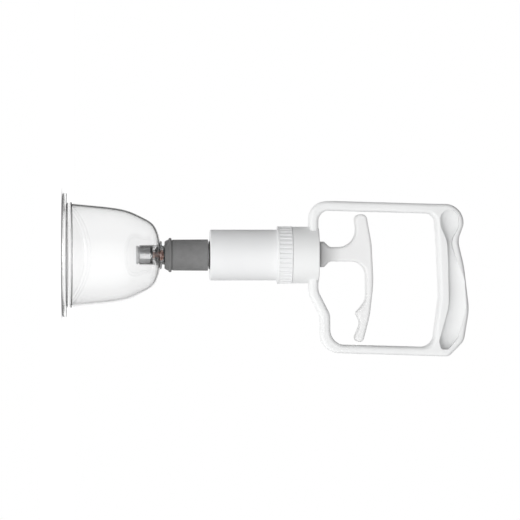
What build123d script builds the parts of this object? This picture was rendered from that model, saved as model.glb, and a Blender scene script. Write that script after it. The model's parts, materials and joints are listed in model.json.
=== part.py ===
from build123d import *
import os

# Vacuum cupping set: a clear cup, its valve, a rubber sleeve and a hand pump with a loop handle.
# Millimetres. +Z runs along the pump from the cup's mouth (z = 0) to the grip, +X points to the
# long side of the handle, and Y is across the flat handle.

# ---- driving dimensions --------------------------------------------------------------------
WALL = 1.0  # cup wall
GAP = 0.05  # running and press clearances, on the radius
SKIN = 0.3  # air between neighbours that do not fit together

# cup
RIM_R = 37.9
RIM_T = 2.9
MOUTH_R = 31.1  # inside of the mouth, below the shoulder
SHOULDER_Z = 5.3
WAIST_R = 31.9  # outside between the rim and the ridge
STEP_R = 32.5  # stacking ridge
STEP_Z = 4.8
STEP_T = 1.3
DOME_R = 31.45  # outside of the dome, at the ridge
DOME_Z = 59.7  # outside of the dome, at the neck
DISC_R = 8.6  # disc between the dome and the nozzle
DISC_TOP = 60.5
NECK_R = 5.6
NOZZLE_R = 6.6
NOZZLE_TOP = 72.0
TUBE_R = 6.2  # clear tube inside the cup
TUBE_END = 46.8

# valve
SEAT_Z = 57.4  # where the red plug sits
SEAT_R = 3.2
BORE_R = 4.2  # nozzle bore above the seat
STEM_R = 1.2
GUARD_R = 5.0
GUARD_LIP = 5.6
GUARD_END = 44.9
WASHER_Z = 53.6
WASHER_T = 1.7
SPRING_R = 2.9
SPRING_WIRE = 0.32
SPRING_TURNS = 4

# sleeve
SLEEVE_Z = 62.3
SLEEVE_END = 88.7
SLEEVE_R = 9.4
BEAD_R = 10.4
BEAD_Z = 65.6

# barrel
BARREL_Z = 89.8
BARREL_R = 15.5
BARREL_BORE = 13.7
BARREL_END = 139.0
SPIGOT_Z = 77.5
SPIGOT_BORE = 4.4
FRONT_WALL = 2.5
FLANGE_R = 16.4  # rear flange, held by the ring
FLANGE_T = 2.0
GASKET_R = 8.5
GASKET_T = 0.6

# ring
RING_R = 17.5
RING_Z = 130.7
RING_END = 139.9
RING_GROOVES = 38
GROOVE_R = 0.9
GROOVE_DEPTH = 0.65

# handle
SOCKET_Z = 140.0
SOCKET_R = 17.3
SOCKET_BORE = 14.0
WALL_Z = 145.5  # rear wall, where the piston stops
WALL_END = 156.1
FRAME_DEPTH = 18.0
EDGE = 2.2  # rounding along the frame
POCKET_DEEP = 8.0

# piston and pull
STROKE = 36.0
ROD_R = 5.0
ROD_TENON_R = 3.0  # at the piston
SCREW_R = 1.6
PULL_TENON_R = 2.8
PULL_TENON = 6.0
FOOT_Z = 156.5  # flared foot of the pull
FOOT_T = 2.7
FOOT_LOW = -8.2  # edges of the foot along X
FOOT_HIGH = 7.4
FOOT_END = 162.6
SHANK_LOW = -4.9  # edges of the shank along X
SHANK_HIGH = 3.9
PULL_DEPTH = 14.0
PULL_EDGE = 1.7
BUMPER_END = WALL_Z - STROKE - 0.3
BUMPER_T = 2.5
PISTON_T = 5.5
SEAL_T = 3.4
BUSH_R = 7.0


def profile(*points):
    """Closed outline through (radius, z) points."""
    return Polyline(*[(r, 0, z) for r, z in points], close=True)


def turned(outline):
    """Body of revolution about Z from a closed outline in the XZ plane."""
    return revolve(make_face(outline), Axis.Z)


def tube(outer, inner, low, high):
    """Plain ring between two heights."""
    return turned(profile((inner, low), (outer, low), (outer, high), (inner, high)))


def disc(radius, low, high):
    return Pos(0, 0, low) * extrude(Circle(radius), high - low)


def circles(solid, radius, height=None):
    """Circular edges of one radius, at one height if it is given."""
    found = solid.edges().filter_by(GeomType.CIRCLE)
    found = found.filter_by(lambda e: abs(e.radius - radius) < 0.01)
    if height is not None:
        found = found.filter_by(lambda e: abs(e.center().Z - height) < 0.01)
    return found


def plate(corners, depth):
    """Slab centred on Y from (z, x, radius) corners, each rounded by its radius."""
    points = [(x, 0, z) for z, x, _ in corners]
    radii = [radius for _, _, radius in corners]
    outline = FilletPolyline(*points, radius=radii, close=True)
    return extrude(make_face(outline), depth / 2, dir=(0, 1, 0), both=True)


def flat_edges(solid, depth):
    """Edges around the two flat sides of a slab."""
    sides = solid.faces().filter_by(Axis.Y).filter_by(lambda f: abs(abs(f.center().Y) - depth / 2) < 0.01)
    return sides.edges()


# ---- cup -----------------------------------------------------------------------------------
def cup_bell():
    ridge_end = STEP_Z + STEP_T
    outside = Spline(
        (DOME_R, 0, ridge_end),
        (30.35, 0, 17.1),
        (29.1, 0, 29.3),
        (26.6, 0, 41.1),
        (23.1, 0, 48.8),
        (18.7, 0, 55.5),
        (DISC_R, 0, DOME_Z),
        tangents=((-0.11, 0, 1), (-1, 0, 0.2)),
    )
    # The inside runs parallel to the outside, a wall's thickness in from it.
    normals = [(share, outside % share) for share in (0.95, 0.85, 0.72, 0.6, 0.4, 0.2, 0)]
    inner = [outside @ share + WALL * Vector(-along.Z, 0, along.X) for share, along in normals]
    root = DOME_Z - WALL + 0.1
    inside = Spline((TUBE_R, 0, root), *inner)
    seat_edge = SEAT_R - 0.9
    seat_low = SEAT_Z - 0.6
    seat_top = SEAT_Z + 1.6
    washer_top = WASHER_Z + WASHER_T
    flare = DISC_TOP + 2.2
    edges = [
        outside,
        Polyline((DISC_R, 0, DOME_Z), (DISC_R, 0, DISC_TOP), (NECK_R + 0.8, 0, DISC_TOP)),
        Spline((NECK_R + 0.8, 0, DISC_TOP), (NECK_R, 0, DISC_TOP + 0.9), (NOZZLE_R, 0, flare)),
        Polyline(
            (NOZZLE_R, 0, flare),
            (NOZZLE_R, 0, NOZZLE_TOP),
            (BORE_R, 0, NOZZLE_TOP),
            (BORE_R, 0, seat_top),
            (seat_edge, 0, seat_low),
            (seat_edge, 0, washer_top),
            (GUARD_R + GAP, 0, washer_top),
            (GUARD_R + GAP, 0, TUBE_END),
            (TUBE_R, 0, TUBE_END),
            (TUBE_R, 0, root),
        ),
        inside,
        Polyline(
            inner[-1],
            (MOUTH_R, 0, SHOULDER_Z),
            (MOUTH_R, 0, 0),
            (RIM_R, 0, 0),
            (RIM_R, 0, RIM_T),
            (WAIST_R, 0, RIM_T),
            (WAIST_R, 0, STEP_Z),
            (STEP_R, 0, STEP_Z),
            (STEP_R, 0, ridge_end),
            (DOME_R, 0, ridge_end),
        ),
    ]
    bell = turned(Wire([edge for piece in edges for edge in piece.edges()]))
    bell = fillet(circles(bell, RIM_R, RIM_T), 0.4)
    bell = fillet(circles(bell, RIM_R, 0), 1.4)
    bell = fillet(circles(bell, WAIST_R, RIM_T), 0.7)
    bell = fillet(circles(bell, STEP_R, ridge_end), 0.9)
    bell = fillet(circles(bell, MOUTH_R, SHOULDER_Z), 0.3)
    bell = fillet(circles(bell, DISC_R, DISC_TOP), 0.5)
    bell = fillet(circles(bell, TUBE_R, TUBE_END), 0.4)
    return fillet(circles(bell, MOUTH_R, 0), 0.9)


def valve_guard():
    """Grey sleeve pressed into the clear tube, with a lip that keeps the spring in."""
    top = WASHER_Z - GAP
    floor = GUARD_END + 1.0
    shoulder = TUBE_END - 0.5
    mouth = 3.0
    wall = 0.8
    guard = turned(
        profile(
            (mouth, GUARD_END),
            (GUARD_LIP, GUARD_END),
            (GUARD_LIP, shoulder),
            (GUARD_R, shoulder),
            (GUARD_R, top),
            (GUARD_R - wall, top),
            (GUARD_R - wall, floor),
            (mouth, floor),
        )
    )
    return fillet(circles(guard, GUARD_LIP), 0.3)


def spring_washer():
    return tube(GUARD_R, STEM_R + 0.5, WASHER_Z, WASHER_Z + WASHER_T - GAP)


def valve_spring():
    low = GUARD_END + 3.3 + SPRING_WIRE
    high = WASHER_Z - SPRING_WIRE - GAP
    path = Helix((high - low) / SPRING_TURNS, high - low, SPRING_R)
    wire = sweep(Plane(origin=path @ 0, z_dir=path % 0) * Circle(SPRING_WIRE), path, is_frenet=True)
    return Pos(0, 0, low) * wire


def spring_retainer():
    """Small disc clipped on the tail of the stem, under the spring."""
    low = GUARD_END + 1.9
    keeper = tube(GUARD_R - 1.3, STEM_R + GAP, low, low + 1.3)
    return chamfer(circles(keeper, GUARD_R - 1.3, low), 0.3)


def valve_stem():
    """Pin that is pulled up by hand to let air back into the cup."""
    tail = GUARD_END + 1.4
    knob_z = NOZZLE_TOP + 0.9
    stem = turned(
        profile(
            (0, tail),
            (STEM_R, tail),
            (STEM_R, knob_z),
            (3.0, knob_z + 0.6),
            (3.0, knob_z + 1.5),
            (2.4, knob_z + 2.1),
            (0, knob_z + 2.1),
        )
    )
    return chamfer(circles(stem, STEM_R, tail), 0.3)


def valve_seal():
    """Red rubber plug on the stem: a cone in its seat, a neck above it and a tail in the bore below."""
    tail = WASHER_Z + WASHER_T + SKIN
    tail_r = SEAT_R - 0.9 - SKIN
    plug = turned(
        profile(
            (STEM_R + GAP, tail),
            (tail_r, tail),
            (tail_r, SEAT_Z),
            (SEAT_R - 0.7, SEAT_Z),
            (SEAT_R + 0.4, SEAT_Z + 1.5),
            (SEAT_R + 0.4, SEAT_Z + 2.4),
            (STEM_R + 0.8, SEAT_Z + 4.0),
            (STEM_R + 0.8, SEAT_Z + 6.2),
            (STEM_R + GAP, SEAT_Z + 6.2),
        )
    )
    return fillet(circles(plug, SEAT_R + 0.4, SEAT_Z + 2.4), 0.4)


# ---- sleeve --------------------------------------------------------------------------------
def nozzle_sleeve():
    bore = NOZZLE_R + GAP
    stop = bore - 1.6
    shoulder = BEAD_Z + 1.3
    sleeve = turned(
        profile(
            (bore, SLEEVE_Z),
            (SLEEVE_R - 1.2, SLEEVE_Z),
            (SLEEVE_R - 0.4, SLEEVE_Z + 1.1),
            (SLEEVE_R, SLEEVE_Z + 2.1),
            (SLEEVE_R, BEAD_Z - 0.9),
            (BEAD_R, BEAD_Z - 0.9),
            (BEAD_R, BEAD_Z + 0.9),
            (SLEEVE_R - 0.3, BEAD_Z + 0.9),
            (SLEEVE_R - 0.3, shoulder),
            (SLEEVE_R, shoulder + 0.4),
            (SLEEVE_R + 0.15, SLEEVE_END),
            (bore, SLEEVE_END),
            (bore, SPIGOT_Z - SKIN),
            (stop, SPIGOT_Z - SKIN),
            (stop, NOZZLE_TOP + SKIN),
            (bore, NOZZLE_TOP + SKIN),
        )
    )
    sleeve = fillet(circles(sleeve, BEAD_R), 0.6)
    return fillet(circles(sleeve, SLEEVE_R + 0.15, SLEEVE_END), 0.4)


def sleeve_gasket():
    """Dark washer on the spigot, between the sleeve and the barrel."""
    low = BARREL_Z - GASKET_T - GAP
    washer = tube(GASKET_R, NOZZLE_R + GAP, low, low + GASKET_T)
    return fillet(circles(washer, GASKET_R), 0.2)


# ---- pump body -----------------------------------------------------------------------------
def pump_barrel():
    wall_top = BARREL_Z + FRONT_WALL
    barrel = turned(
        profile(
            (SPIGOT_BORE, SPIGOT_Z),
            (NOZZLE_R, SPIGOT_Z),
            (NOZZLE_R, BARREL_Z),
            (BARREL_R, BARREL_Z),
            (BARREL_R, BARREL_END - FLANGE_T),
            (FLANGE_R, BARREL_END - FLANGE_T),
            (FLANGE_R, BARREL_END),
            (BARREL_BORE, BARREL_END),
            (BARREL_BORE, wall_top),
            (1.0, wall_top),
            (1.0, wall_top - 2.0),
            (SPIGOT_BORE, wall_top - 2.0),
        )
    )
    vent = disc(0.7, wall_top - 2.5, wall_top + 0.5)
    for turn in range(4):
        barrel -= Rot(0, 0, 90 * turn) * Pos(2.9, 0, 0) * vent
    barrel = fillet(circles(barrel, BARREL_R, BARREL_Z), 0.7)
    return chamfer(circles(barrel, NOZZLE_R, SPIGOT_Z), 0.5)


def inlet_valve():
    """Umbrella flap over the vents in the barrel's front wall: air comes in and cannot go back."""
    seat = BARREL_Z + FRONT_WALL
    return turned(
        profile(
            (0, seat - 3.4),
            (0.7, seat - 3.4),
            (1.3, seat - 2.1),
            (1.0 - GAP, seat - 2.05),
            (1.0 - GAP, seat + GAP),
            (4.2, seat + GAP),
            (4.2, seat + 0.4),
            (1.6, seat + 1.0),
            (0, seat + 1.2),
        )
    )


def knurled_ring():
    bore = BARREL_R + GAP
    shelf = BARREL_END - FLANGE_T - 0.1
    ring = turned(
        profile(
            (bore, RING_Z),
            (RING_R, RING_Z),
            (RING_R, RING_END),
            (FLANGE_R + GAP, RING_END),
            (FLANGE_R + GAP, shelf),
            (bore, shelf),
        )
    )
    ring = fillet(circles(ring, RING_R), 0.35)
    groove = Pos(RING_R + GROOVE_R - GROOVE_DEPTH, 0, RING_Z + 1.2) * extrude(
        Circle(GROOVE_R), RING_END - RING_Z - 1.8
    )
    grooves = [Rot(0, 0, 360 * i / RING_GROOVES) * groove for i in range(RING_GROOVES)]
    return ring - Compound(grooves)


# ---- handle --------------------------------------------------------------------------------
FRAME_OUTLINE = (
    (150.3, -32.6, 10.5),
    (165.0, -32.9, 60.0),
    (228.0, -31.2, 12.0),
    (244.8, -31.2, 11.4),
    (244.3, -18.0, 7.0),
    (240.9, -9.0, 12.0),
    (244.6, 6.4, 60.0),
    (247.8, 33.0, 30.0),
    (244.6, 52.4, 8.0),
    (235.3, 61.8, 4.0),
    (157.2, 59.4, 11.5),
    (157.2, 37.2, 11.0),
    (150.3, 23.6, 11.0),
)
WINDOW_OUTLINE = (
    (155.7, -27.3, 6.5),
    (227.1, -25.4, 5.6),
    (228.6, -7.0, 40.0),
    (230.0, 25.0, 40.0),
    (225.9, 56.3, 7.5),
    (163.1, 54.6, 9.5),
    (162.9, 36.2, 10.0),
    (155.7, 22.0, 10.0),
)
POCKET_OUTLINE = (
    (230.0, -27.6, 5.3),
    (241.2, -27.6, 5.3),
    (241.2, -16.6, 5.0),
    (236.6, -8.4, 9.0),
    (239.0, -0.6, 16.0),
    (245.0, 15.0, 18.0),
    (245.8, 33.0, 22.0),
    (241.4, 50.0, 16.0),
    (235.2, 57.6, 2.0),
    (230.6, 57.6, 2.0),
    (229.2, 52.4, 3.0),
    (235.2, 31.0, 30.0),
    (234.8, 8.0, 60.0),
    (234.2, -8.0, 20.0),
    (230.0, -18.0, 5.0),
)


def pocket_cut():
    """Scoop in one side of the grip: a steep wall by the fingers that runs out towards the palm."""
    face = FRAME_DEPTH / 2
    above = face + 1.0
    bottom = face - POCKET_DEEP
    low, high = 228.0, 247.0
    block = Pos(0, face, 0) * plate(POCKET_OUTLINE, 2 * POCKET_DEEP)
    floor = Spline(
        (0, bottom, low),
        (0, bottom + 0.4 * POCKET_DEEP, 238.0),
        (0, above, high + 1.0),
        tangents=((0, 0, 1), (0, 1, 1)),
    )
    sides = Polyline((0, above, high + 1.0), (0, above, low), (0, bottom, low))
    section = make_face(Wire([edge for line in (floor, sides) for edge in line.edges()]))
    return block & extrude(section, 100, dir=(1, 0, 0), both=True)


def handle_frame():
    loop = plate(FRAME_OUTLINE, FRAME_DEPTH)
    loop -= plate(WINDOW_OUTLINE, FRAME_DEPTH + 2)
    loop = fillet(flat_edges(loop, FRAME_DEPTH), EDGE)
    socket = disc(SOCKET_R, SOCKET_Z, WALL_END)
    socket = fillet(circles(socket, SOCKET_R, WALL_END), 0.8)
    neck = disc(FLANGE_R - 0.4, BARREL_END + 0.1, SOCKET_Z)
    handle = loop + socket + neck
    handle -= disc(SOCKET_BORE, BARREL_END, WALL_Z)
    handle -= disc(BUSH_R, WALL_Z - 1, WALL_END + 1)
    pocket = pocket_cut()
    handle -= pocket
    return handle - mirror(pocket, Plane.XZ)


def rod_bush():
    """Bearing in the rear wall that guides the rod."""
    bush = tube(BUSH_R - GAP, ROD_R + GAP, WALL_Z + GAP, WALL_END - 0.2)
    return chamfer(circles(bush, ROD_R + GAP, WALL_END - 0.2), 0.4)


# ---- piston and pull -----------------------------------------------------------------------
PISTON_TOP = BUMPER_END - BUMPER_T - GAP
PISTON_LOW = PISTON_TOP - PISTON_T
SEAL_LOW = PISTON_LOW - GAP - SEAL_T
WASHER_LOW = SEAL_LOW - GAP - 1.0


def piston_rod():
    """Rod with a tenon at each end: one for the piston, one for the pull."""
    head = FOOT_Z + PULL_TENON
    rod = turned(
        profile(
            (SCREW_R, WASHER_LOW + GAP),
            (ROD_TENON_R, WASHER_LOW + GAP),
            (ROD_TENON_R, PISTON_TOP + GAP),
            (ROD_R, PISTON_TOP + GAP),
            (ROD_R, FOOT_Z - GAP),
            (PULL_TENON_R, FOOT_Z - GAP),
            (PULL_TENON_R, head),
            (0, head),
            (0, PISTON_TOP),
            (SCREW_R, PISTON_TOP),
        )
    )
    return chamfer(circles(rod, PULL_TENON_R, head), 0.4)


def piston_body():
    body = turned(
        profile(
            (ROD_TENON_R + GAP, PISTON_LOW),
            (BARREL_BORE - 0.5, PISTON_LOW),
            (BARREL_BORE - 0.5, PISTON_TOP),
            (BARREL_BORE - 2.5, PISTON_TOP),
            (BARREL_BORE - 2.5, PISTON_LOW + 2.0),
            (ROD_R + 2.0, PISTON_LOW + 2.0),
            (ROD_R + 2.0, PISTON_TOP),
            (ROD_TENON_R + GAP, PISTON_TOP),
        )
    )
    return chamfer(circles(body, BARREL_BORE - 0.5, PISTON_TOP), 0.4)


def piston_seal():
    """Rubber cup washer whose lip seals against the barrel on the pull stroke."""
    lip = BARREL_BORE - GAP
    return turned(
        profile(
            (ROD_TENON_R + GAP, SEAL_LOW + SEAL_T - 1.6),
            (10.2, SEAL_LOW + SEAL_T - 1.6),
            (lip - 1.0, SEAL_LOW),
            (lip, SEAL_LOW),
            (lip, SEAL_LOW + SEAL_T - 0.8),
            (lip - 0.8, SEAL_LOW + SEAL_T),
            (ROD_TENON_R + GAP, SEAL_LOW + SEAL_T),
        )
    )


def piston_washer():
    """Washer that clamps the rubber cup against the piston."""
    high = SEAL_LOW + SEAL_T - 1.6 - GAP
    washer = turned(
        profile(
            (ROD_TENON_R + GAP, WASHER_LOW),
            (8.6, WASHER_LOW),
            (8.6, high),
            (ROD_TENON_R + GAP, high),
        )
    )
    return chamfer(circles(washer, 8.6, WASHER_LOW), 0.4)


def piston_screw():
    """Pan-head screw up the middle of the rod."""
    seat = WASHER_LOW - GAP
    screw = turned(
        profile(
            (0, seat - 1.6),
            (2.6, seat - 1.6),
            (3.6, seat - 0.8),
            (3.6, seat),
            (SCREW_R - GAP, seat),
            (SCREW_R - GAP, seat + 8.0),
            (0, seat + 8.6),
        )
    )
    slot = Pos(0, 0, seat - 1.6) * Box(0.8, 8.0, 1.6)
    return screw - slot


def rod_bumper():
    """Rubber ring behind the piston that meets the rear wall at full stroke."""
    bumper = tube(ROD_R + 2.6, ROD_R + GAP, BUMPER_END - BUMPER_T, BUMPER_END)
    return fillet(circles(bumper, ROD_R + 2.6), 0.6)


PULL_OUTLINE = (
    (FOOT_Z, FOOT_LOW, 0.6),
    (FOOT_Z + FOOT_T, FOOT_LOW, 0.8),
    (FOOT_END, SHANK_LOW, 3.0),
    (179.3, SHANK_LOW, 10.4),
    (178.6, -18.0, 12.0),
    (177.8, -24.9, 3.2),
    (185.0, -24.9, 3.2),
    (188.3, -7.0, 50.0),
    (189.5, 17.0, 70.0),
    (187.2, 37.0, 60.0),
    (183.1, 52.9, 2.7),
    (176.8, 52.9, 2.7),
    (181.7, 41.4, 7.0),
    (178.7, 35.4, 2.0),
    (185.1, 27.8, 9.0),
    (184.9, SHANK_HIGH, 8.8),
    (FOOT_END, SHANK_HIGH, 3.0),
    (FOOT_Z + FOOT_T, FOOT_HIGH, 0.8),
    (FOOT_Z, FOOT_HIGH, 0.6),
)


def finger_pull():
    """T-shaped pull, flared where it meets the rod."""
    tee = plate(PULL_OUTLINE, PULL_DEPTH)
    tee = fillet(flat_edges(tee, PULL_DEPTH), PULL_EDGE)
    return tee - disc(PULL_TENON_R + GAP, FOOT_Z - 1, FOOT_Z + PULL_TENON + 0.2)


PIECES = (
    cup_bell,
    valve_guard,
    spring_washer,
    valve_spring,
    spring_retainer,
    valve_stem,
    valve_seal,
    nozzle_sleeve,
    sleeve_gasket,
    pump_barrel,
    inlet_valve,
    knurled_ring,
    handle_frame,
    rod_bush,
    piston_rod,
    piston_body,
    piston_seal,
    piston_washer,
    piston_screw,
    rod_bumper,
    finger_pull,
)

os.makedirs("parts", exist_ok=True)
for piece in PIECES:
    export_step(piece(), f"parts/{piece.__name__}.step")
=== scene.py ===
import json
import math

import bpy
import numpy as np
from mathutils import Matrix, Vector


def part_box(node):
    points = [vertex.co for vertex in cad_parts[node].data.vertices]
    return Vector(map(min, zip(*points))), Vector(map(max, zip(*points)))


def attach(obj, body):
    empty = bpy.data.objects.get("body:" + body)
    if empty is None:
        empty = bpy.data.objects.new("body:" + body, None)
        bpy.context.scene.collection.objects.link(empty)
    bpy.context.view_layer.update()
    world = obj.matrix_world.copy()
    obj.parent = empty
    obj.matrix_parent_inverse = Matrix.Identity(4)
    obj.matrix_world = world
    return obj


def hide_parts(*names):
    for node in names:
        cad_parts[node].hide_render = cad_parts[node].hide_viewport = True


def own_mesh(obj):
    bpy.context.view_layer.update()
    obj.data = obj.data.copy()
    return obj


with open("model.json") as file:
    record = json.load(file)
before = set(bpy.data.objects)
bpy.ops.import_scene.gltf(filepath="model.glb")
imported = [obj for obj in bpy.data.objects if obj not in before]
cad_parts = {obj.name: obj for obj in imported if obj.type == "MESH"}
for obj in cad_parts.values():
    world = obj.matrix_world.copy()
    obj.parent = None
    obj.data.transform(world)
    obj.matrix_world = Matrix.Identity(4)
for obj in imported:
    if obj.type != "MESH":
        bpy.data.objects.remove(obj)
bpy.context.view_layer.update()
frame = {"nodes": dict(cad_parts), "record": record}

# Metres, in the CAD frame: +Z along the pump from the cup's mouth, +X towards the handle's long side.
FOOT_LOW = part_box("finger_pull")[0][2]  # painted shade: the pull is darkest here, where the socket's shadow falls, and plain white from FOOT_HIGH up
FOOT_HIGH = FOOT_LOW + 0.013
# share of the base colour left at the foot by the painted shade
FOOT_PAINTED_SHADE = 0.55


# ---- helpers -------------------------------------------------------------------------------
def new_material(name):
    """Empty node material: its tree, its Principled shader and the object's own coordinates."""
    material = bpy.data.materials.new(name)
    material.use_nodes = True
    tree = material.node_tree
    shader = tree.nodes["Principled BSDF"]
    place = tree.nodes.new("ShaderNodeTexCoord").outputs["Object"]
    return material, tree, shader, place


def noise(tree, place, size, detail=3.0, stretch=(1.0, 1.0, 1.0)):
    """Noise whose blotches are about `size` metres across."""
    mapping = tree.nodes.new("ShaderNodeMapping")
    mapping.inputs["Scale"].default_value = stretch
    tree.links.new(place, mapping.inputs["Vector"])
    node = tree.nodes.new("ShaderNodeTexNoise")
    node.inputs["Scale"].default_value = 1.0 / size
    node.inputs["Detail"].default_value = detail
    tree.links.new(mapping.outputs["Vector"], node.inputs["Vector"])
    return node.outputs["Fac"]


def spread(tree, factor, low, high, start=0.3, stop=0.7):
    """The factor's range start..stop laid out over low..high."""
    node = tree.nodes.new("ShaderNodeMapRange")
    node.inputs["From Min"].default_value = start
    node.inputs["From Max"].default_value = stop
    node.inputs["To Min"].default_value = low
    node.inputs["To Max"].default_value = high
    tree.links.new(factor, node.inputs["Value"])
    return node.outputs["Result"]


def blend_colours(tree, factor, first, second):
    """First colour where the factor is 0, second where it is 1."""
    node = tree.nodes.new("ShaderNodeMix")
    node.data_type = "RGBA"
    node.inputs["A"].default_value = (*first, 1.0)
    node.inputs["B"].default_value = (*second, 1.0)
    tree.links.new(factor, node.inputs["Factor"])
    return node.outputs["Result"]


def bump(tree, shader, height, depth, strength=1.0):
    """Relief `depth` metres deep."""
    node = tree.nodes.new("ShaderNodeBump")
    node.inputs["Distance"].default_value = depth
    node.inputs["Strength"].default_value = strength
    tree.links.new(height, node.inputs["Height"])
    tree.links.new(node.outputs["Normal"], shader.inputs["Normal"])


def moulded(name, light, dark, rough, grain=0.0004, relief=0.000012):
    """Moulded plastic: faint flow marks in the colour, a fine grain, and handling marks in the gloss."""
    material, tree, shader, place = new_material(name)
    flow = spread(tree, noise(tree, place, 0.03, 2.0), 0.0, 1.0)
    tree.links.new(blend_colours(tree, flow, light, dark), shader.inputs["Base Color"])
    marks = noise(tree, place, 0.006, 5.0, (1.0, 1.0, 0.4))
    tree.links.new(spread(tree, marks, rough, rough + 0.12), shader.inputs["Roughness"])
    bump(tree, shader, noise(tree, place, grain, 2.0), relief)
    return material


def pull_plastic(name):
    """Moulded plastic with painted shade: its base colour darkens towards the foot, standing in for the
    socket's shadow there.
    """
    material = moulded(name, (0.84, 0.84, 0.84), (0.81, 0.81, 0.81), 0.3)
    tree = material.node_tree
    paint = tree.nodes["Principled BSDF"].inputs["Base Color"]
    height = tree.nodes.new("ShaderNodeSeparateXYZ")
    tree.links.new(tree.nodes.new("ShaderNodeTexCoord").outputs["Object"], height.inputs["Vector"])
    foot_shade_ramp = spread(tree, height.outputs["Z"], FOOT_PAINTED_SHADE, 1.0, FOOT_LOW, FOOT_HIGH)
    # painted shade: multiplies the base colour down towards the foot
    painted_shade = tree.nodes.new("ShaderNodeMix")
    painted_shade.data_type = "RGBA"
    painted_shade.blend_type = "MULTIPLY"
    painted_shade.inputs["Factor"].default_value = 1.0
    tree.links.new(paint.links[0].from_socket, painted_shade.inputs["A"])
    tree.links.new(foot_shade_ramp, painted_shade.inputs["B"])
    tree.links.new(painted_shade.outputs["Result"], paint)
    return material


def soft_rubber(name, light, dark, rough):
    """Rubber: dusty blotches and a fine matte skin."""
    material, tree, shader, place = new_material(name)
    dust = spread(tree, noise(tree, place, 0.004, 6.0), 0.0, 1.0)
    tree.links.new(blend_colours(tree, dust, dark, light), shader.inputs["Base Color"])
    tree.links.new(spread(tree, dust, rough, rough + 0.1, 0.0, 1.0), shader.inputs["Roughness"])
    bump(tree, shader, noise(tree, place, 0.0003, 2.0), 0.00001)
    return material


def clear_plastic(name):
    """Polished polycarbonate with a few faint scuffs."""
    material, tree, shader, place = new_material(name)
    shader.inputs["Transmission Weight"].default_value = 1.0
    shader.inputs["IOR"].default_value = 1.58
    shade = spread(tree, noise(tree, place, 0.02, 2.0), 0.0, 1.0)
    colour = blend_colours(tree, shade, (1.0, 1.0, 1.0), (0.994, 0.997, 0.997))
    tree.links.new(colour, shader.inputs["Base Color"])
    scuffs = noise(tree, place, 0.003, 6.0, (1.0, 1.0, 0.3))
    tree.links.new(spread(tree, scuffs, 0.0, 0.03, 0.55, 0.8), shader.inputs["Roughness"])
    return material


def bright_steel(name):
    """Steel wire and washers with a little wear."""
    material, tree, shader, place = new_material(name)
    shader.inputs["Metallic"].default_value = 1.0
    wear = spread(tree, noise(tree, place, 0.002, 4.0), 0.0, 1.0)
    colour = blend_colours(tree, wear, (0.62, 0.62, 0.64), (0.5, 0.5, 0.52))
    tree.links.new(colour, shader.inputs["Base Color"])
    tree.links.new(spread(tree, wear, 0.22, 0.38, 0.0, 1.0), shader.inputs["Roughness"])
    return material


MATERIALS = {
    "clear_plastic": clear_plastic("clear_plastic_look"),
    "guard_plastic": moulded("guard_plastic_look", (0.88, 0.88, 0.89), (0.82, 0.82, 0.83), 0.4),
    "grey_plastic": moulded("grey_plastic_look", (0.42, 0.42, 0.43), (0.36, 0.36, 0.37), 0.35),
    "ivory_plastic": moulded("ivory_plastic_look", (0.82, 0.81, 0.78), (0.77, 0.76, 0.73), 0.3),
    "spring_steel": bright_steel("spring_steel_look"),
    "red_rubber": soft_rubber("red_rubber_look", (0.8, 0.42, 0.33), (0.72, 0.34, 0.26), 0.5),
    "grey_rubber": soft_rubber("grey_rubber_look", (0.2, 0.2, 0.2), (0.165, 0.165, 0.165), 0.55),
    "dark_rubber": soft_rubber("dark_rubber_look", (0.06, 0.06, 0.06), (0.035, 0.035, 0.035), 0.5),
    "white_plastic": moulded("white_plastic_look", (0.83, 0.835, 0.84), (0.8, 0.805, 0.81), 0.32),
    "handle_plastic": moulded("handle_plastic_look", (0.84, 0.845, 0.845), (0.81, 0.815, 0.815), 0.34),
    "pull_plastic": pull_plastic("pull_plastic_painted_shade_look"),
}


def dress_nodes():
    """Each CAD node gets the look of its own material slot."""
    slots = {part["node"]: part["material_slot"] for part in frame["record"]["subparts"]}
    for name, piece in frame["nodes"].items():
        piece.data.materials.clear()
        piece.data.materials.append(MATERIALS[slots[name]])


# ---- the clear cup -------------------------------------------------------------------------
# The cup is turned here again, finely, because the facets of the CAD mesh would show as ripples
# through clear plastic. Radii and heights come from the CAD nodes' boxes where they can.
CUP_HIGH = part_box("cup_bell")[1]
FIT = 0.00005  # clearance on the radius between pressed parts
RIM_R = CUP_HIGH[0]
NOZZLE_TOP = CUP_HIGH[2]
TUBE_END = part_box("valve_guard")[0][2] + 0.0019
GUARD_BORE = 0.005 + FIT
WASHER_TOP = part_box("spring_washer")[1][2] + FIT
WALL = 0.001
RIM_T = 0.0029
MOUTH_R = 0.0311
SHOULDER = 0.0053
WAIST_R = 0.0319
STEP_R = 0.0325
STEP_LOW = 0.0048
STEP_HIGH = 0.0061
DISC_R = 0.0086
DISC_TOP = 0.0605
NECK_R = 0.0056
NOZZLE_R = 0.0066
BORE_R = 0.0042
SEAT_R = 0.0023
SEAT_LOW = 0.0568
SEAT_TOP = 0.059
TUBE_R = 0.0062
TUBE_ROOT = 0.0588
DOME = (
    (0.03145, STEP_HIGH),
    (0.03035, 0.0171),
    (0.0291, 0.0293),
    (0.0266, 0.0411),
    (0.0231, 0.0488),
    (0.0187, 0.0555),
    (DISC_R, 0.0597),
)
DOME_STEPS = 96
NECK_STEPS = 12
TURN_STEPS = 256
ARC_STEPS = 6
ARC_LEAD = 0.15  # part of the rounding by which the straight edges stop short of an arc
EASED = 0.0002  # rounding of a moulded edge
CRISP = 0.0001  # rounding of an inner corner


def unit(vector):
    return vector / np.linalg.norm(vector)


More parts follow.
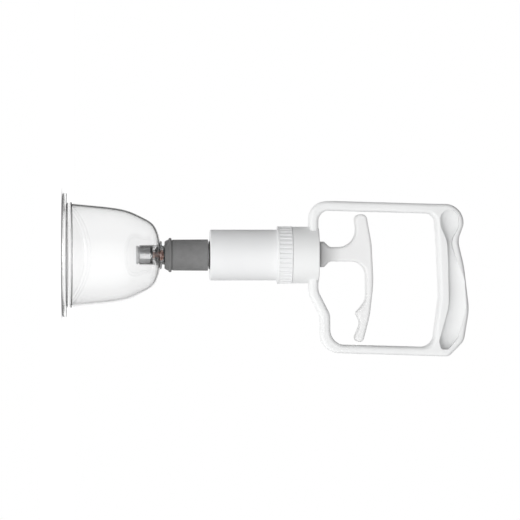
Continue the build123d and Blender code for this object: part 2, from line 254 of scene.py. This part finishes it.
def spline(points, first, last, steps):
    """Points along the smoothest curve through `points` that leaves along `first` and ends along `last`."""
    knots = np.array(points)
    gaps = np.linalg.norm(np.diff(knots, axis=0), axis=1)
    chords = np.diff(knots, axis=0) / gaps[:, None]
    count = len(knots)
    system = np.eye(count)
    slopes = np.zeros((count, 2))
    slopes[0] = unit(np.array(first))
    slopes[-1] = unit(np.array(last))
    for i in range(1, count - 1):
        system[i, i - 1 : i + 2] = gaps[i], 2 * (gaps[i - 1] + gaps[i]), gaps[i - 1]
        slopes[i] = 3 * (gaps[i] * chords[i - 1] + gaps[i - 1] * chords[i])
    slopes = np.linalg.solve(system, slopes)
    places = np.concatenate(([0.0], np.cumsum(gaps)))
    line = []
    for place in np.linspace(0.0, places[-1], steps + 1):
        i = min(int(np.searchsorted(places, place, side="right")) - 1, count - 2)
        t = (place - places[i]) / gaps[i]
        ahead = knots[i] * (2 * t**3 - 3 * t**2 + 1) + knots[i + 1] * (3 * t**2 - 2 * t**3)
        lean = slopes[i] * (t**3 - 2 * t**2 + t) + slopes[i + 1] * (t**3 - t**2)
        line.append(ahead + lean * gaps[i])
    return np.array(line)


def rounded(corners):
    """Closed outline from (radius, height, rounding) corners; an arc takes the place of a rounded one."""
    line = []
    for i, (radius, height, rounding) in enumerate(corners):
        here = np.array((radius, height))
        if not rounding:
            line.append(here)
            continue
        back = unit(np.array(corners[i - 1][:2]) - here)
        onward = unit(np.array(corners[(i + 1) % len(corners)][:2]) - here)
        half = 0.5 * math.acos(back @ onward)
        centre = here + unit(back + onward) * rounding / math.sin(half)
        start = here + back * rounding / math.tan(half)
        stop = here + onward * rounding / math.tan(half)
        sweep = math.pi - 2 * half
        margin = ARC_LEAD * rounding
        line.append(start + back * margin)
        for step in range(ARC_STEPS + 1):
            share = step / ARC_STEPS
            from_start = math.sin((1 - share) * sweep) * (start - centre)
            from_stop = math.sin(share * sweep) * (stop - centre)
            line.append(centre + (from_start + from_stop) / math.sin(sweep))
        line.append(stop + onward * margin)
    return line


def turned(name, line, material):
    """Body of revolution about Z from a closed outline of (radius, height) points."""
    angles = [2 * math.pi * step / TURN_STEPS for step in range(TURN_STEPS)]
    points = [(r * math.cos(a), r * math.sin(a), z) for a in angles for r, z in line]
    rows = len(line)
    faces = []
    for column in range(TURN_STEPS):
        here = column * rows
        there = (column + 1) % TURN_STEPS * rows
        for row in range(rows):
            up = (row + 1) % rows
            faces.append((here + row, there + row, there + up, here + up))
    mesh = bpy.data.meshes.new(name)
    mesh.from_pydata(points, [], faces)
    mesh.polygons.foreach_set("use_smooth", [True] * len(faces))
    mesh.set_sharp_from_angle(angle=math.radians(32))
    mesh.materials.append(material)
    piece = bpy.data.objects.new(name, mesh)
    bpy.context.scene.collection.objects.link(piece)
    return piece


def clear_cup():
    """The cup's wall between two parallel curves, with its rim, neck and inner tube."""
    outside = spline(DOME, (-0.11, 1.0), (-1.0, 0.2), DOME_STEPS)
    along = np.gradient(outside, axis=0)
    inward = np.stack((-along[:, 1], along[:, 0]), axis=1)
    inside = outside + WALL * inward / np.linalg.norm(inward, axis=1)[:, None]
    flare = DISC_TOP + 0.0022
    hollow = ((NECK_R + 0.0008, DISC_TOP), (NECK_R, DISC_TOP + 0.0009), (NOZZLE_R, flare))
    neck = spline(hollow, (-1.0, 0.4), (0.3, 1.0), NECK_STEPS)
    corners = [(r, z, 0) for r, z in outside]
    corners += [(DISC_R, DISC_TOP, 0.0005)]
    corners += [(r, z, 0) for r, z in neck]
    corners += [
        (NOZZLE_R, NOZZLE_TOP, EASED),
        (BORE_R, NOZZLE_TOP, EASED),
        (BORE_R, SEAT_TOP, CRISP),
        (SEAT_R, SEAT_LOW, CRISP),
        (SEAT_R, WASHER_TOP, CRISP),
        (GUARD_BORE, WASHER_TOP, CRISP),
        (GUARD_BORE, TUBE_END, EASED),
        (TUBE_R, TUBE_END, 0.0004),
        (TUBE_R, TUBE_ROOT, 0.0003),
    ]
    corners += [(r, z, 0) for r, z in inside[::-1]]
    corners += [
        (MOUTH_R, SHOULDER, 0.0003),
        (MOUTH_R, 0.0, 0.0009),
        (RIM_R, 0.0, 0.0014),
        (RIM_R, RIM_T, 0.0004),
        (WAIST_R, RIM_T, 0.0007),
        (WAIST_R, STEP_LOW, CRISP),
        (STEP_R, STEP_LOW, CRISP),
        (STEP_R, STEP_HIGH, 0.0009),
    ]
    cup = turned("clear_cup", rounded(corners), MATERIALS["clear_plastic"])
    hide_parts("cup_bell")
    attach(cup, "cup")


# ---- the valve's spring --------------------------------------------------------------------
SPRING_R = 0.0029
WIRE_R = 0.00032
SPRING_TURNS = 4.5
COIL_STEPS = 40  # along one turn
WIRE_STEPS = 10


def valve_coil():
    """The coil is drawn here, wound between the spring retainer and the spring washer."""
    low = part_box("spring_retainer")[1][2] + WIRE_R + FIT
    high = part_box("spring_washer")[0][2] - WIRE_R - FIT
    steps = int(SPRING_TURNS * COIL_STEPS)
    points = []
    for step in range(steps + 1):
        share = step / steps
        # The end turns lie closer, as they do on a wound spring.
        rise = share - 0.8 * math.sin(2 * math.pi * share) / (2 * math.pi)
        angle = 2 * math.pi * SPRING_TURNS * share
        for side in range(WIRE_STEPS):
            around = 2 * math.pi * side / WIRE_STEPS
            radius = SPRING_R + WIRE_R * math.cos(around)
            height = low + (high - low) * rise + WIRE_R * math.sin(around)
            points.append((radius * math.cos(angle), radius * math.sin(angle), height))
    faces = [tuple(range(WIRE_STEPS)), tuple(range(steps * WIRE_STEPS, (steps + 1) * WIRE_STEPS))[::-1]]
    for step in range(steps):
        for side in range(WIRE_STEPS):
            here = step * WIRE_STEPS
            turn = (side + 1) % WIRE_STEPS
            faces.append((here + side, here + WIRE_STEPS + side, here + WIRE_STEPS + turn, here + turn))
    mesh = bpy.data.meshes.new("valve_coil")
    mesh.from_pydata(points, [], faces)
    mesh.polygons.foreach_set("use_smooth", [True] * len(faces))
    mesh.set_sharp_from_angle(angle=math.radians(50))
    mesh.materials.append(MATERIALS["spring_steel"])
    coil = bpy.data.objects.new("valve_coil", mesh)
    bpy.context.scene.collection.objects.link(coil)
    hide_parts("valve_spring")
    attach(coil, "cup")
    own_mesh(coil)


# ---- stage ---------------------------------------------------------------------------------
VIEW_DISTANCE = 1.923
VIEW_Z = 0.028  # the camera's height on the pump's axis
AIM = Vector((0.003, 0.0, 0.1205))
VIEW_WIDTH = 0.3172  # what the picture spans at the pump
FLOOR_SIZE = 1.2
FLOOR_GLOW = 0.8
SHADE_GLOW = 0.15  # under the cup, as in its shadow
SHADE_R = 0.034
SHADE_END_R = 0.046
SWEEP_TOWARD = (0.12, 0.993, 0.0)  # the white sweep behind the object
SWEEP_FULL = 0.96  # cosines of the angles where it starts to fade and where it ends
SWEEP_EDGE = 0.88
FRONT_TOWARD = (0.45, -0.89, 0.0)
FRONT_EDGE = 0.4
FRONT_GLOW = 1.12
ROOM_GLOW = 0.1
KEY_SPOT = (0.15, -0.6, 0.06)
KEY_TARGET = (0.0, 0.0, 0.14)
KEY_WIDTH = 0.7
KEY_HEIGHT = 0.1
KEY_WATTS = 1.1
FILL_SPOT = (0.1, 0.9, 0.3)  # behind the object, for its far side
FILL_WIDTH = 0.4
FILL_WATTS = 2.0


def make_camera():
    """Looks along +Y with the cup on the left and the handle's long side down."""
    spot = Vector((AIM.x, -VIEW_DISTANCE, VIEW_Z))
    back = (spot - AIM).normalized()
    right = (Vector((0, 0, 1)) - back * back.z).normalized()
    up = back.cross(right)
    data = bpy.data.cameras.new("camera")
    data.sensor_width = 36.0
    data.lens = data.sensor_width * (spot - AIM).length / VIEW_WIDTH
    camera = bpy.data.objects.new("camera", data)
    turn = Matrix((right, up, back)).transposed().to_4x4()
    camera.matrix_world = Matrix.Translation(spot) @ turn
    bpy.context.scene.collection.objects.link(camera)
    bpy.context.scene.camera = camera


def make_floor():
    """Pale light table: it glows, so it lights the object from the cup's side."""
    bpy.ops.mesh.primitive_plane_add(size=FLOOR_SIZE, location=(0, 0, -0.0001))
    floor = bpy.context.object
    floor.name = "floor"
    material, tree, shader, place = new_material("floor_look")
    grain = spread(tree, noise(tree, place, 0.05, 3.0), 0.0, 1.0)
    colour = blend_colours(tree, grain, (0.93, 0.93, 0.93), (0.91, 0.91, 0.91))
    tree.links.new(colour, shader.inputs["Base Color"])
    shader.inputs["Roughness"].default_value = 0.8
    shader.inputs["Emission Color"].default_value = (1, 1, 1, 1)
    away = tree.nodes.new("ShaderNodeVectorMath")
    away.operation = "LENGTH"
    tree.links.new(place, away.inputs[0])
    glow = spread(tree, away.outputs["Value"], SHADE_GLOW, FLOOR_GLOW, SHADE_R, SHADE_END_R)
    tree.links.new(glow, shader.inputs["Emission Strength"])
    floor.data.materials.append(material)


def soft_box(name, spot, target, width, height, watts, through_clear=True):
    """Area light that neither the camera nor reflections see; clear parts can pass its light on."""
    data = bpy.data.lights.new(name, "AREA")
    data.shape = "RECTANGLE"
    data.size = width
    data.size_y = height
    data.energy = watts
    light = bpy.data.objects.new(name, data)
    light.location = spot
    light.rotation_euler = (Vector(target) - Vector(spot)).to_track_quat("-Z", "Y").to_euler()
    light.visible_camera = False
    light.visible_glossy = False
    light.visible_transmission = through_clear
    bpy.context.scene.collection.objects.link(light)


def lobe(tree, direction, toward, edge, soft):
    """1 in the directions near `toward`, falling to 0 at `edge`; cosines of the angles."""
    dot = tree.nodes.new("ShaderNodeVectorMath")
    dot.operation = "DOT_PRODUCT"
    dot.inputs[1].default_value = toward
    tree.links.new(direction, dot.inputs[0])
    return spread(tree, dot.outputs["Value"], 0.0, 1.0, edge, soft)


def combine(tree, operation, first, second):
    node = tree.nodes.new("ShaderNodeMath")
    node.operation = operation
    for socket, value in zip(node.inputs, (first, second)):
        if isinstance(value, float):
            socket.default_value = value
        else:
            tree.links.new(value, socket)
    return node.outputs["Value"]


def make_world():
    """White sweep behind the object, grey room around it, so that clear edges draw a dark line."""
    world = bpy.data.worlds.new("sweep")
    world.use_nodes = True
    bpy.context.scene.world = world
    tree = world.node_tree
    glow = tree.nodes["Background"]
    direction = tree.nodes.new("ShaderNodeTexCoord").outputs["Generated"]
    sweep = lobe(tree, direction, SWEEP_TOWARD, SWEEP_EDGE, SWEEP_FULL)
    front = lobe(tree, direction, FRONT_TOWARD, FRONT_EDGE, 1.0)
    room = combine(tree, "ADD", combine(tree, "MULTIPLY", front, FRONT_GLOW), ROOM_GLOW)
    tree.links.new(combine(tree, "MAXIMUM", sweep, room), glow.inputs["Strength"])
    glow.inputs["Color"].default_value = (1, 1, 1, 1)
    seen = tree.nodes.new("ShaderNodeBackground")
    seen.inputs["Color"].default_value = (1, 1, 1, 1)
    seen.inputs["Strength"].default_value = 1.0
    chosen = tree.nodes.new("ShaderNodeMixShader")
    ray = tree.nodes.new("ShaderNodeLightPath").outputs["Is Camera Ray"]
    tree.links.new(ray, chosen.inputs["Fac"])
    tree.links.new(glow.outputs["Background"], chosen.inputs[1])
    tree.links.new(seen.outputs["Background"], chosen.inputs[2])
    tree.links.new(chosen.outputs["Shader"], tree.nodes["World Output"].inputs["Surface"])


def make_stage():
    make_floor()
    make_world()
    soft_box("key", KEY_SPOT, KEY_TARGET, KEY_WIDTH, KEY_HEIGHT, KEY_WATTS)
    soft_box("fill", FILL_SPOT, KEY_TARGET, FILL_WIDTH, FILL_WIDTH, FILL_WATTS, through_clear=False)
    bpy.context.scene.view_settings.view_transform = "Standard"
    make_camera()


dress_nodes()
clear_cup()
valve_coil()
make_stage()
